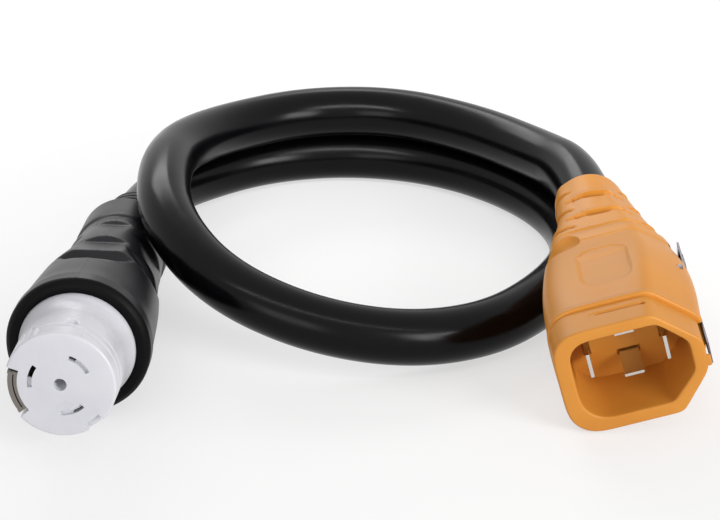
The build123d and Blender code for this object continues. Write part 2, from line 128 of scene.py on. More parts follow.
def mixed(tree, factor, shade, colour):
    """A tone between two colours."""
    return node(tree, "ShaderNodeMix", {
        "Factor": factor, "A": linear(shade), "B": linear(colour),
    }, data_type="RGBA")


def moulded(name, colour, shade, roughness, grain, grain_depth, waviness, specular=0.5,
            subsurface=0.0, cloud=24.0):
    """Moulded plastic or rubber: cloudy tone, a fine texture off the mould and slow sink marks.

    The grain's size and depth, the sink marks' depth and the clouds' size are in millimetres.
    """
    made, tree = new_material(name)
    place = node(tree, "ShaderNodeTexCoord")
    clouds = node(tree, "ShaderNodeTexNoise", {
        "Vector": (place, "Object"), "Scale": per_mm(cloud), "Detail": 3.0, "Roughness": 0.55,
    })
    paint = mixed(tree, (spread(tree, clouds), "Result"), shade, colour)
    gloss = spread(tree, clouds, roughness - 0.05, roughness + 0.05)
    specks = node(tree, "ShaderNodeTexNoise", {
        "Vector": (place, "Object"), "Scale": per_mm(grain), "Detail": 2.0,
    })
    texture = node(tree, "ShaderNodeBump", {
        "Height": (specks, "Fac"), "Distance": grain_depth / 1000, "Strength": 0.6,
    })
    sinks = node(tree, "ShaderNodeTexNoise", {
        "Vector": (place, "Object"), "Scale": per_mm(16.0), "Detail": 1.0,
    })
    surface = node(tree, "ShaderNodeBump", {
        "Height": (sinks, "Fac"), "Distance": waviness / 1000, "Strength": 0.5,
        "Normal": (texture, "Normal"),
    })
    shader = node(tree, "ShaderNodeBsdfPrincipled", {
        "Base Color": (paint, "Result"), "Roughness": (gloss, "Result"),
        "Normal": (surface, "Normal"), "IOR": 1.5, "Specular IOR Level": specular,
        "Subsurface Weight": subsurface, "Subsurface Scale": 0.004,
        "Subsurface Radius": (1.0, 0.95, 0.9),
    })
    node(tree, "ShaderNodeOutputMaterial", {"Surface": (shader, "BSDF")})
    return made


def worked_metal(name, colour, shade, roughness, scratch, scratch_depth, stretch):
    """Bare or plated metal: faint drawn lines and a slightly uneven tone.

    The lines' spacing and depth are in millimetres, and stretch is how close they lie each way.
    """
    made, tree = new_material(name)
    place = node(tree, "ShaderNodeTexCoord")
    drawn = node(tree, "ShaderNodeMapping", {"Vector": (place, "Object"), "Scale": stretch})
    lines = node(tree, "ShaderNodeTexNoise", {
        "Vector": (drawn, "Vector"), "Scale": per_mm(scratch), "Detail": 3.0,
    })
    paint = mixed(tree, (spread(tree, lines), "Result"), shade, colour)
    gloss = spread(tree, lines, roughness - 0.06, roughness + 0.06)
    surface = node(tree, "ShaderNodeBump", {
        "Height": (lines, "Fac"), "Distance": scratch_depth / 1000, "Strength": 0.5,
    })
    shader = node(tree, "ShaderNodeBsdfPrincipled", {
        "Base Color": (paint, "Result"), "Metallic": 1.0, "Roughness": (gloss, "Result"),
        "Normal": (surface, "Normal"),
    })
    node(tree, "ShaderNodeOutputMaterial", {"Surface": (shader, "BSDF")})
    return made


def seen_directly(tree):
    """Is 1 for what the camera sees, straight, mirrored or through glass, and 0 for mere light."""
    ray = node(tree, "ShaderNodeLightPath")
    mirrored = node(tree, "ShaderNodeMath", {
        0: (ray, "Is Camera Ray"), 1: (ray, "Is Glossy Ray"),
    }, operation="MAXIMUM")
    return node(tree, "ShaderNodeMath", {
        0: (mirrored, "Value"), 1: (ray, "Is Transmission Ray"),
    }, operation="MAXIMUM")


# ==================== materials ====================

# Extruded flexible PVC: near black and glossy, with long soft highlights.
pvc_jacket = moulded(
    "extruded_pvc_jacket", "#050507", "#040405", roughness=0.22,
    grain=0.9, grain_depth=0.015, waviness=0.08, specular=0.14,
)
# Moulded TPE: a dull charcoal skin whose mould texture spreads the light.
tpe_boot = moulded(
    "moulded_tpe_boot", "#0f0f13", "#0b0b0e", roughness=0.36,
    grain=0.8, grain_depth=0.05, waviness=0.10, specular=0.28,
)
# The boot's TPE drawn darker and duller: painted shade on the boot's front ring and in its mouth, and on
# the neck's slit walls.
painted_shade_tpe = moulded(
    "painted_shade_black_tpe", "#08080a", "#060607", roughness=0.45,
    grain=0.8, grain_depth=0.02, waviness=0.05, specular=0.08,
)
# Moulded nylon 6: milky white that lets a little light into its edges.
nylon_nose = moulded(
    "moulded_nylon_nose", "#d8d8dd", "#d0d0d6", roughness=0.32,
    grain=1.0, grain_depth=0.02, waviness=0.06, subsurface=0.15,
)
# Glass-filled nylon of the twist-lock end's carrier: dull off-white.
nylon_carrier = moulded(
    "filled_nylon_carrier", "#c4c3c0", "#b9b8b5", roughness=0.6,
    grain=0.7, grain_depth=0.05, waviness=0.05,
)
# Moulded PBT in safety orange: satin, with a fine spark-eroded texture.
pbt_orange = moulded(
    "moulded_pbt_orange", "#d18c38", "#ca8430", roughness=0.42,
    grain=0.7, grain_depth=0.06, waviness=0.10, specular=0.32, cloud=30.0,
)
# Coloured PVC on the conductors, seen only inside.
pvc_conductor = moulded(
    "conductor_pvc_insulation", "#3a3a3c", "#303032", roughness=0.35,
    grain=1.5, grain_depth=0.02, waviness=0.03,
)
# Nickel-plated brass: bright and slightly warm.
nickel_brass = worked_metal(
    "nickel_plated_brass", "#dcdad4", "#c8c5bd", roughness=0.22,
    scratch=0.5, scratch_depth=0.01, stretch=(1.0, 6.0, 6.0),
)
# Pressed spring steel: grey with drawn lines.
pressed_steel = worked_metal(
    "pressed_spring_steel", "#807c80", "#6a666a", roughness=0.36,
    scratch=0.4, scratch_depth=0.02, stretch=(6.0, 1.0, 6.0),
)
# Folded ground strip: dull tinned steel.
tinned_steel = worked_metal(
    "folded_tinned_steel", "#8a857f", "#716c66", roughness=0.42,
    scratch=0.5, scratch_depth=0.02, stretch=(6.0, 1.0, 6.0),
)

# ==================== modelling tools ====================


def flowing(table, depth):
    """A smooth value through a table of (depth, value) points."""
    if depth <= table[0][0]:
        return table[0][1]
    for place in range(len(table) - 1):
        (start, low), (stop, high) = table[place], table[place + 1]
        if depth <= stop:
            before = table[max(place - 1, 0)]
            after = table[min(place + 2, len(table) - 1)]
            run = stop - start
            leave = (high - before[1]) / (stop - before[0]) * run
            arrive = (after[1] - low) / (after[0] - start) * run
            t = (depth - start) / run
            return (
                low * (2 * t**3 - 3 * t**2 + 1) + leave * (t**3 - 2 * t**2 + t)
                + high * (3 * t**2 - 2 * t**3) + arrive * (t**3 - t**2)
            )
    return table[-1][1]


def straight(table, depth):
    """The value at that depth on straight lines between (depth, value) points."""
    if depth <= table[0][0]:
        return table[0][1]
    for (start, low), (stop, high) in zip(table, table[1:]):
        if depth <= stop:
            return low + (high - low) * (depth - start) / (stop - start)
    return table[-1][1]


def soft(edge, width, value):
    """Rises smoothly from 0 to 1 as the value passes the edge."""
    t = min(max((value - edge) / width + 0.5, 0.0), 1.0)
    return t * t * (3 - 2 * t)


def within(start, stop, width, value):
    """Is 1 between start and stop, and falls smoothly to 0 outside."""
    return soft(start, width, value) * (1 - soft(stop, width, value))


def flat_sides(angle, sides, crispness):
    """The radius at that angle of a form with (angle, distance) flat sides and soft corners.

    The higher the crispness, the tighter the corners.
    """
    total = 0.0
    for facing, distance in sides:
        lean = cos(angle - facing)
        if lean > 0.1:
            total += (lean / distance) ** crispness
    return total ** (-1 / crispness)


def turned(profile, steps):
    """A closed ring turned about the axis, from a closed loop of (radius, depth, skin) points.

    The skin is a number that every point of a ring keeps, for finding it again.
    """
    form = bmesh.new()
    skin = form.verts.layers.int.new("skin")
    corners = []
    for radius, depth, side in profile:
        corner = form.verts.new((radius, 0, -depth))
        corner[skin] = side
        corners.append(corner)
    edges = [form.edges.new(pair) for pair in zip(corners, corners[1:] + corners[:1])]
    bmesh.ops.spin(
        form, geom=corners + edges, cent=(0, 0, 0), axis=(0, 0, 1), angle=2 * pi, steps=steps,
        use_merge=True,
    )
    bmesh.ops.recalc_face_normals(form, faces=form.faces)
    return form, form.verts.layers.int["skin"]


def finish_piece(form, name, material, replaced, body="adapter", place=None, crease=35):
    """Makes a bmesh a finished piece that rides on a body and stands for its CAD nodes."""
    if place is not None:
        form.transform(place)
    mesh = bpy.data.meshes.new(name)
    form.to_mesh(mesh)
    form.free()
    mesh.shade_smooth()
    mesh.set_sharp_from_angle(angle=radians(crease))
    made = bpy.data.objects.new(name, mesh)
    scene.collection.objects.link(made)
    mesh.materials.append(material)
    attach(made, body)
    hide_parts(*replaced)
    return made


def set_round(form, turned_skin, radius_at):
    """Moves every point of one skin to the radius that a function gives for its depth and angle."""
    skin, wanted = turned_skin
    for vert in form.verts:
        if vert[skin] == wanted:
            angle = atan2(vert.co.y, vert.co.x)
            radius = radius_at(-vert.co.z, angle, hypot(vert.co.x, vert.co.y))
            vert.co.x, vert.co.y = radius * cos(angle), radius * sin(angle)


def rounded_copy(source, name, material, edge):
    """A CAD node's shape with its sharp edges rounded, standing for the node."""
    form = bmesh.new()
    form.from_mesh(frame["nodes"][source].data)
    bmesh.ops.remove_doubles(form, verts=form.verts, dist=0.000002)
    bmesh.ops.dissolve_limit(form, angle_limit=radians(1), verts=form.verts, edges=form.edges)
    sharp = [
        e for e in form.edges if len(e.link_faces) == 2 and e.calc_face_angle(0) > radians(35)
    ]
    bmesh.ops.bevel(
        form, geom=sharp, offset=edge / 1000, offset_type="OFFSET", affect="EDGES",
        segments=2, profile=0.5, clamp_overlap=True, material=-1,
    )
    made = finish_piece(form, name, material, [source])
    weighted = made.modifiers.new("flat faces stay flat", "WEIGHTED_NORMAL")
    weighted.keep_sharp = True
    return made


def cutter(size, middle):
    """A block for cutting."""
    block = bmesh.new()
    place = Matrix.Translation(middle) @ Matrix.Diagonal((*size, 1))
    bmesh.ops.create_cube(block, size=1, matrix=place)
    return block


def arc_block(inner, outer, middle, span, front, back, steps=24):
    """A closed block between two radii, round part of a circle and between two depths."""
    block = bmesh.new()
    start = radians(middle - span / 2)
    turned_by = Matrix.Rotation(start, 4, "Z")
    corners = [
        block.verts.new(turned_by @ Vector((radius, 0, -depth)))
        for radius, depth in ((inner, front), (outer, front), (outer, back), (inner, back))
    ]
    face = block.faces.new(corners)
    bmesh.ops.spin(
        block, geom=[face, *face.edges, *corners], cent=(0, 0, 0), axis=(0, 0, 1),
        angle=radians(span), steps=steps,
    )
    bmesh.ops.remove_doubles(block, verts=block.verts, dist=0.0001)
    if not any(set(face.verts) == set(corners) for face in block.faces):
        block.faces.new(corners)
    bmesh.ops.recalc_face_normals(block, faces=block.faces)
    return block


def cut(piece, tools, place):
    """Cuts closed forms, drawn in an end's frame, out of a piece, whose materials they share."""
    for tool in tools:
        tool.transform(place)
        mesh = bpy.data.meshes.new("tool")
        tool.to_mesh(mesh)
        tool.free()
        for material in piece.data.materials:
            mesh.materials.append(material)
        blade = bpy.data.objects.new("tool", mesh)
        scene.collection.objects.link(blade)
        boolean = piece.modifiers.new("cut", "BOOLEAN")
        boolean.operation = "DIFFERENCE"
        boolean.solver = "EXACT"
        boolean.object = blade
        bpy.context.view_layer.update()
        evaluated = piece.evaluated_get(bpy.context.evaluated_depsgraph_get())
        done = bpy.data.meshes.new_from_object(evaluated)
        piece.modifiers.remove(boolean)
        old = piece.data
        piece.data = done
        done.name = piece.name
        bpy.data.meshes.remove(old)
        bpy.data.objects.remove(blade)
        bpy.data.meshes.remove(mesh)


# ==================== cable ====================

cable_diameter = 0.0285
route = [
    (-92.5, 180, 14.25), (-51, 208, 14.25), (-1, 216, 14.25), (48, 203, 14.25), (88, 171.5, 14.25),
    (114.5, 128.5, 14.25), (121, 78, 14.25), (100.5, 32, 14.25), (67.5, -6, 14.25), (23, -25.5, 18.5),
    (-26.5, -25, 28), (-71, -4.5, 41), (-98, 36, 54.5), (-104, 86, 59), (-98.5, 137.5, 53),
    (-73, 182, 45), (-29, 209.5, 43.3), (22.5, 209, 43.5), (67, 182.5, 43.6), (98.5, 145.5, 45.5),
]
# at each end, the depth where the jacket starts and where its straight run ends
lock_inside, lock_run_end = 196.0, 246.0
plug_inside, plug_run_end = 139.3, 189.3

points = [lock_end @ Vector((0, 0, -depth)) for depth in (lock_inside, lock_run_end)]
points += [Vector(point) / 1000 for point in route]
points += [plug_end @ Vector((0, 0, -depth)) for depth in (plug_run_end, plug_inside)]

line = bpy.data.curves.new("cable_jacket", "CURVE")
line.dimensions = "3D"
spline = line.splines.new("NURBS")
spline.points.add(len(points) - 1)
for control, point in zip(spline.points, points):
    control.co = (*point, 1)
spline.order_u = 3
spline.use_endpoint_u = True
line.resolution_u = 24
line.bevel_depth = cable_diameter / 2
line.bevel_resolution = 16
line.use_fill_caps = True
line.materials.append(pvc_jacket)
cable = bpy.data.objects.new("cable_jacket", line)
scene.collection.objects.link(cable)
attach(cable, "adapter")
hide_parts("cable")

# ==================== nose of the twist-lock end ====================

nose_radius, nose_edge, nose_back = 26.3, 1.2, 58.0
flare = [(29.0, 26.3), (33.0, 26.6), (37.0, 27.3), (41.0, 28.4), (43.0, 28.4)]
base_front, base_lip, base_radius = 43.0, 28.4, 29.4
pilot_radius, pilot_depth = 3.1, 12.0
land_start, land_stop, land_sunk = 66, 116, 0.8
ledge_end = 10.5
dimple_angle, dimple_depth, dimple_radius, dimple_sunk = 80, 14.0, 2.1, 1.2
key_angles, key_half_angle, key_start, key_stop, key_sunk = (124, 133, 142), 1.7, 1.6, 15.0, 1.0
ridge_depths, ridge_width, ridge_sunk = (7.0, 12.5), 1.2, 0.4


def nose_skin(depth, angle, _):
    """The nose's wall: sunk lands, a ledge and a dimple on top, key grooves and fine ridge lines."""
    if depth < flare[0][0]:
        radius = nose_radius
    elif depth < base_front:
        radius = flowing(flare, depth)
    else:
        radius = base_radius
    turn = (angle * 180 / pi) % 360
    arc = radians(turn - dimple_angle) * nose_radius
    radius -= land_sunk * within(land_start, land_stop, 2.5, turn) * within(-2.0, ledge_end, 0.9, depth)
    radius -= dimple_sunk * (1 - soft(dimple_radius, 0.8, hypot(arc, depth - dimple_depth)))
    for key in key_angles:
        along = within(key_start, key_stop, 1.4, depth)
        radius -= key_sunk * within(key - key_half_angle, key + key_half_angle, 1.4, turn) * along
    side = 1 - within(62, 298, 8.0, turn)
    for ridge in ridge_depths:
        radius -= ridge_sunk * side * within(ridge, ridge + ridge_width, 0.9, depth)
    return radius


nose_profile = [(pilot_radius, pilot_depth, 0), (pilot_radius, 0.0, 0), (12.0, 0.0, 0), (20.0, 0.0, 0)]
for turn in range(0, 91, 18):
    inset, depth = nose_edge * (1 - sin(radians(turn))), nose_edge * (1 - cos(radians(turn)))
    nose_profile.append((nose_radius - inset, depth, 2))
nose_profile += [(nose_radius, nose_edge + 0.55 * step, 1) for step in range(1, 73)]
nose_profile += [(base_lip, 42.0, 1), (base_lip, 42.9, 1), (base_radius, 43.1, 1)]
nose_profile += [(base_radius, 50.0, 1), (base_radius, 57.4, 1), (28.8, nose_back, 0)]
nose_profile += [(pilot_radius, nose_back, 0), (2.0, 57.0, 0), (2.0, 13.0, 0)]
form, skin = turned(nose_profile, 300)
set_round(form, (skin, 1), nose_skin)
nose = finish_piece(
    form, "nose", nylon_nose, ["lock_nose"], place=lock_end, crease=50,
)

slot_inner, slot_outer, slot_span, slot_floor = 13.35, 15.65, 45, 1.8
room_margin, room_span, room_front, room_back = 1.4, 52, 3.0, 57.0
openings = []
# middle of each slot, and the middle, span and inner radius of the part that is open to its leaf
for middle, open_middle, open_span, open_inner in (
    (165.0, 157.0, 27, 13.35), (49.0, 64.5, 13, 13.35), (-68.0, -58.0, 22, 14.6),
):
    openings.append(arc_block(open_inner, slot_outer, open_middle, open_span, -1.0, 4.0))
    openings.append(arc_block(slot_inner, slot_outer, middle, slot_span, -1.0, slot_floor))
    openings.append(arc_block(
        slot_inner - room_margin, slot_outer + room_margin, middle, room_span, room_front, room_back,
    ))
# the wide notch of the ground strip, and the small notch beside it
ground_middle, outside_all = 192, 31.0
openings.append(arc_block(20.3, outside_all, ground_middle, 60, -1.0, 30.0))
openings.append(arc_block(22.5, outside_all, 309, 22, -1.0, 5.0))
cut(nose, openings, lock_end)

# ==================== boot of the twist-lock end ====================

# (depth, radius) down the bell
bell = [(52.0, 35.2), (60.0, 34.2), (75.0, 33.0), (92.0, 31.5), (110.0, 29.2)]
# The rows, as (depth, distance from the axis), slope gently to the back and then rise steeply, like scales.
top_rows = [(77.0, 33.0), (84.0, 28.4), (95.0, 24.2), (99.5, 28.0), (120.5, 23.6), (125.0, 26.7)]
top_rows += [(149.0, 22.2), (153.0, 24.5), (158.5, 23.6)]
side_rows = [(93.5, 31.6), (101.0, 27.6), (111.0, 24.0), (115.5, 27.2), (137.0, 22.6), (141.5, 25.5)]
side_rows += [(154.0, 22.4), (158.5, 23.5)]
# (radius, depth) along the outside from the front lip, and along the inside back to it
boot_outside = [
    (32.5, 42.0), (34.3, 43.6), (34.9, 44.5), (35.2, 45.6), (35.2, 52.0),
] + [(flowing(bell, depth), depth) for depth in (*range(55, 106, 5), 109)] + [
    (29.2, 110.0), (28.7, 111.3), (27.4, 112.8), (27.15, 114.0), (23.4, 158.6), (23.7, 159.2),
    (24.2, 160.2), (24.4, 161.4), (24.4, 183.0), (24.1, 184.2), (23.2, 185.4), (21.0, 186.6),
    (19.4, 187.8), (19.0, 189.2), (16.7, 215.0), (15.9, 216.0),
]
boot_inside = [
    (14.4, 216.0), (14.4, 196.0), (12.2, 196.0), (12.2, 75.9), (27.1, 75.9), (27.1, 58.1),
    (29.5, 58.1), (29.5, 43.0), (28.6, 42.8), (28.6, 42.1), (28.8, 42.0),
]
groove_fronts, groove_width, groove_deep = (194.0, 199.8, 205.6, 211.4), 2.6, 1.4
boot_ring_spacing, boot_crispness = 0.85, 70
seam_half_angle, seam_front, seam_back, seam_high = 0.9, 43, 158, 0.16
ring_back, mouth_back, mouth_radius = 45.4, 60, 30.6     # where the boot is drawn black: painted shade on its front ring and in its mouth


def closely(points, spacing):
    """Points added along a (radius, depth) line so that none are further apart than the spacing."""
    filled = []
    for (radius, depth), (next_radius, next_depth) in zip(points, points[1:]):
        parts = max(1, round(hypot(next_radius - radius, next_depth - depth) / spacing))
        for part in range(parts):
            share = part / parts
            filled.append((
                radius + (next_radius - radius) * share, depth + (next_depth - depth) * share,
            ))
    return filled + [points[-1]]


def boot_skin(depth, angle, turned_radius):
    """The boot's surface: the turned form, cut by six sides whose rows overlap like scales."""
    sides = []
    for number in range(6):
        facing = radians(30 + 60 * number)
        rows = top_rows if number % 3 == 1 else side_rows
        if rows[0][0] < depth < rows[-1][0]:
            lean = cos(angle - facing)
            if lean > 0.5:
                sides.append(straight(rows, depth) / lean)
    sides.append(turned_radius)
    radius = sum((1 / side) ** boot_crispness for side in sides) ** (-1 / boot_crispness)
    for front in groove_fronts:
        radius -= groove_deep * within(front, front + groove_width, 0.9, depth)
    if abs(angle - pi / 2) < radians(seam_half_angle) and seam_front < depth < seam_back:
        radius += seam_high
    return radius


profile = [(radius, depth, 1) for radius, depth in closely(boot_outside, boot_ring_spacing)]
profile += [(radius, depth, 0) for radius, depth in closely(boot_inside, 6.0)]
form, skin = turned(profile, 360)
set_round(form, (skin, 1), boot_skin)
boot = finish_piece(
    form, "boot", tpe_boot, ["lock_boot"], place=lock_end, crease=60,
)
# the front ring and the mouth take the darker copy of the TPE: painted shade
boot.data.materials.append(painted_shade_tpe)
lock_inverse = lock_end.inverted()
for face in boot.data.polygons:
    spot = lock_inverse @ face.center
    if -spot.z < ring_back or (-spot.z < mouth_back and hypot(spot.x, spot.y) < mouth_radius):
        face.material_index = 1

# ==================== body of the hooded end ====================

# depth, left, right, top, bottom
body_sections = [
    (18.0, 35.6, 37.6, 31.6, 30.0), (45.0, 35.0, 39.4, 30.0, 29.2), (68.0, 32.6, 38.6, 26.6, 27.2),
    (88.0, 29.2, 34.8, 22.4, 24.0), (104.0, 25.2, 30.8, 20.0, 21.6), (118.0, 20.6, 26.8, 18.6, 19.4),
    (128.0, 18.2, 24.4, 17.6, 18.0), (140.0, 17.0, 21.8, 16.8, 17.0), (150.0, 16.0, 19.6, 16.0, 16.0),
    (160.0, 15.0, 17.2, 15.0, 15.0),
]
columns = [[(row[0], row[side]) for row in body_sections] for side in (1, 2, 3, 4)]
hood_height = 59.5           # top and bottom of the shroud's section together
neck = [(104.0, 16.0), (112.0, 18.4), (118.0, 18.8), (159.3, 17.7)]
neck_front = neck[0][0]
plug_length, body_front, lip = 159.3, 18.0, 1.3
body_crispness, neck_crispness, cavity_crispness = 26, 30, 30

# the neck's grooves: (depth, middle angle) of one of each pair, and their shape
neck_grooves = [(108.5, 165), (118.0, 78), (127.5, 165), (137.0, 78), (146.5, 165)]
groove_half_width, groove_half_span, neck_groove_deep, groove_brow = 2.0, 52.0, 2.9, 0.6
# the slits through its wall: the middle angle, half of the span and half of the width
top_slit, side_slit = (84, 30, 1.25), (138, 24, 0.8)
slit_inner, slit_outer = 14.8, 27.0

scoop_angle, scoop_half_angle, scoop_depth, scoop_half_length, scoop_deep = 143, 31, 90.5, 9.5, 6.5
recess_x, recess_depth, recess_flat, recess_run, recess_corner = -0.5, 55.0, 3.0, 11.0, 9.5
recess_floor, recess_slope = 27.6, 0.150


def boxed(left, right, top, bottom, cuts, rounds, grow=0.0):
    """The flat sides of a section: its right-hand corners cut off, its left-hand ones rounded."""
    sides = [(pi, left), (0.0, right), (pi / 2, top), (-pi / 2, bottom)]
    for (across, along), height, way in zip(cuts, (top, bottom), (1, -1)):
        lean = atan2(across, along)
        sides.append((way * lean, right * cos(lean) + (height - along) * sin(lean)))
    for radius, height, middle in zip(rounds, (top, bottom), (135, 225)):
        lift = height - radius if middle < 180 else radius - height
        centre = Vector((radius - left, lift))
        for facing in (middle - 22.5, middle, middle + 22.5):
            way = Vector((cos(radians(facing)), sin(radians(facing))))
            sides.append((radians(facing), centre.dot(way) + radius))
    return [(facing, distance + grow) for facing, distance in sides]


def hood_sides(left, right, top, bottom, scale):
    """The flat sides of the hood's outside at one depth."""
    cuts = [(21.0 * scale, 21.0 * scale), (16.2 * scale, 21.2 * scale)]
    return boxed(left, right, top, bottom, cuts, (12.0 * scale, 15.0 * scale))


def mouth_sides(grow=0.0):
    """The flat sides of the hood's cavity."""
    return boxed(27.6, 28.8, 24.2, 22.0, [(13.3, 14.0), (13.3, 15.0)], (9.0, 14.0), grow)


body_sides = {}


def body_skin(depth, angle, _):
    """The orange body's surface, with its lip, its scoop, its recess and the grooves of its neck."""
    depth = round(depth, 4)
    if depth not in body_sides:
        left, right, top, bottom = (flowing(column, depth) for column in columns)
        body_sides[depth] = hood_sides(left, right, top, bottom, (top + bottom) / hood_height)
    radius = flat_sides(angle, body_sides[depth], body_crispness)
    if depth > neck_front:
        round_neck = straight(neck, depth) ** neck_crispness
        radius = (radius**neck_crispness + round_neck) ** (1 / neck_crispness)
    into = depth - body_front
    if into < lip:
        radius -= lip - sqrt(max(lip**2 - (lip - into) ** 2, 0))
    # a raised band behind the lip, and a step where the neck starts
    radius += 0.45 * (1 - soft(body_front + 3.0, 2.0, depth))
    radius += 0.9 * within(90.0, 99.0, 1.2, depth) * soft(90.0, 12.0, depth)
    radius -= 0.8 * within(99.0, 103.5, 1.2, depth)
    for groove_depth, middle in neck_grooves:
        for turn in (radians(middle), radians(middle) + pi):
            away = abs((angle - turn + pi) % (2 * pi) - pi) / radians(groove_half_span)
            if away < 1:
                reach = groove_half_width * (1 - away**2) ** 0.8
                front, back = groove_depth - reach, groove_depth + reach
                radius += groove_brow * (1 - away**2) * within(back, back + 2.0, 1.2, depth)
                radius -= neck_groove_deep * (1 - away**4) * within(front, back, 0.8, depth)
    across = ((angle * 180 / pi) % 360 - scoop_angle) / scoop_half_angle
    scoop = hypot(across, (depth - scoop_depth) / scoop_half_length)
    if scoop < 1:
        radius -= scoop_deep * (1 - scoop**2)
    x, y = radius * cos(angle), radius * sin(angle)
    if y > 15 and 30 < depth < 80:
        past_x = max(abs(x - recess_x) - recess_flat, 0)
        past_depth = max(abs(depth - recess_depth) - recess_run, 0)
        inside = 1 - soft(recess_corner, 0.9, hypot(past_x, past_depth))
        floor = (recess_floor - (depth - recess_depth) * recess_slope) / sin(angle)
        if floor < radius:
            radius += (floor - radius) * inside
    return radius


def add_slit(form, middle, half_span, half_width, depth, steps=16):
    """Adds a closed slit through the neck's wall, pointed at both of its ends."""
    rows = []
    for step in range(steps + 1):
        t = 2 * step / steps - 1
        angle, reach = radians(middle + half_span * t), half_width * (1 - t * t)
        rows.append([
            form.verts.new((radius * cos(angle), radius * sin(angle), side * reach - depth))
            for radius in (slit_inner, slit_outer) for side in (1, -1)
        ])
    for near, far in zip(rows, rows[1:]):
        for low, high in ((0, 1), (1, 3), (3, 2), (2, 0)):
            form.faces.new((near[low], near[high], far[high], far[low]))


body_profile = [
    (30.0, body_front + lip * (1 - cos(radians(turn))), 1) for turn in (0, 22, 45, 68, 90)
]
body_start, body_rings = body_front + lip, 190
body_spacing = (plug_length - 1.0 - body_start) / body_rings
body_profile += [(30.0, body_start + body_spacing * step, 1) for step in range(1, body_rings + 1)]
body_profile += [(17.4, plug_length - 0.4, 0), (16.9, plug_length, 0), (14.4, plug_length, 0)]
body_profile += [(14.4, 139.3, 0), (12.2, 139.3, 0), (12.2, 90.0, 0), (13.7, 88.0, 0), (13.7, 69.6, 0)]
body_profile += [(24.0, 69.6, 2), (24.0, 44.0, 2), (24.0, 18.0, 2)]
form, skin = turned(body_profile, 312)
pocket = mouth_sides(1.9)
set_round(form, (skin, 1), body_skin)
set_round(form, (skin, 2), lambda depth, angle, _: flat_sides(angle, pocket, cavity_crispness))
bmesh.ops.recalc_face_normals(form, faces=form.faces)
body = finish_piece(
    form, "hooded_body", pbt_orange, ["plug_body"], place=plug_end, crease=50,
)
# the body's second slot is the darker TPE, painted shade on the slits' walls
body.data.materials.append(painted_shade_tpe)

# the slits' walls take the darker TPE: painted shade inside the slits, not the orange they are cut from
slits = bmesh.new()
for depth, groove_middle in neck_grooves:
    middle, half_span, half_width = top_slit if groove_middle < 90 else side_slit
    for turn in (0, 180):
        add_slit(slits, middle + turn, half_span, half_width, depth)
bmesh.ops.remove_doubles(slits, verts=slits.verts, dist=0.0001)
bmesh.ops.recalc_face_normals(slits, faces=slits.faces)
for face in slits.faces:
    face.material_index = 1
# the latch's channel, in front of and behind its pin, and the pin's hole
channel_width = 13.2
channel_front = cutter((40, channel_width, 42), (54.6, 0, -37.0))
channel_rear = cutter((40, channel_width, 41.5), (50.5, 0, -72.75))
pin_hole = bmesh.new()
bmesh.ops.create_cone(
    pin_hole, cap_ends=True, segments=40, radius1=1.52, radius2=1.52, depth=60,
    matrix=Matrix.Translation((35.0, 0, -60.0)) @ Matrix.Rotation(pi / 2, 4, "X"),
)
cut(body, [channel_front, channel_rear, pin_hole, slits], plug_end)

# ==================== shroud of the hooded end ====================

shroud_outside = hood_sides(35.3, 35.5, 30.3, 29.2, 1.0)
mouth, spigot = mouth_sides(), mouth_sides(1.6)
outer_lip, inner_lip, rear_lip = 1.3, 1.1, 0.4
shroud_length, spigot_end = 18.0, 33.8
vent_depth, vent_half_length, vent_sunk = 12.0, 13.4, 1.2
vent_hole_x, vent_hole_radius, vent_hole_deep = 12.2, 0.9, 4.0

# outline, how far inside it, depth
shroud_rings = []
for turn in range(0, 91, 15):
    away, down = 1 - sin(radians(turn)), 1 - cos(radians(turn))
    shroud_rings.append((shroud_outside, outer_lip * away, outer_lip * down))
shroud_rings += [(shroud_outside, 0.0, 1.3 + 0.35 * step) for step in range(1, 47)]
shroud_rings += [(shroud_outside, rear_lip * 0.3, 17.9), (shroud_outside, rear_lip, shroud_length)]
shroud_rings += [(spigot, 0.0, shroud_length), (spigot, 0.0, spigot_end), (mouth, 0.0, spigot_end)]
shroud_rings += [(mouth, 0.0, 33.0 - 2.0 * step) for step in range(16)]
for turn in range(0, 91, 15):
    away, down = 1 - cos(radians(turn)), 1 - sin(radians(turn))
    shroud_rings.append((mouth, -inner_lip * away, inner_lip * down))
shroud_profile = [(30.0, depth, number) for number, (_, _, depth) in enumerate(shroud_rings)]
form, skin = turned(shroud_profile, 540)
for vert in form.verts:
    sides, inset, depth = shroud_rings[vert[skin]]
    angle = atan2(vert.co.y, vert.co.x)
    radius = flat_sides(angle, sides, cavity_crispness) - inset
    if sides is shroud_outside and 0.6 < angle < 2.6:
        x = radius * cos(angle)
        across, along = max(abs(x) - vent_half_length + 1.0, 0), depth - vent_depth
        sunk = 1 - soft(1.0, 0.7, hypot(across, along))
        sunk *= 1 - 0.8 * within(-vent_half_length, -10.6, 0.8, x)
        hole = 1 - soft(vent_hole_radius, 0.5, hypot(x - vent_hole_x, along))
        radius -= (vent_sunk * sunk + vent_hole_deep * hole) / sin(angle)
    vert.co.x, vert.co.y = radius * cos(angle), radius * sin(angle)
# a small guard block over the lever's front
guard = bmesh.ops.create_cube(
    form, size=1, matrix=Matrix.Translation((34.9, -3.0, -0.75)) @ Matrix.Diagonal((4.4, 6.4, 1.3, 1)),
)
guard_edges = {edge for vert in guard["verts"] for edge in vert.link_edges}
bmesh.ops.bevel(
    form, geom=list(guard_edges), offset=0.6, offset_type="OFFSET", affect="EDGES", segments=3,
    profile=0.5, material=-1,
)
bmesh.ops.recalc_face_normals(form, faces=form.faces)
finish_piece(
    form, "shroud", pbt_orange, ["plug_shroud"], place=plug_end, crease=50,
)

# ==================== latch ====================

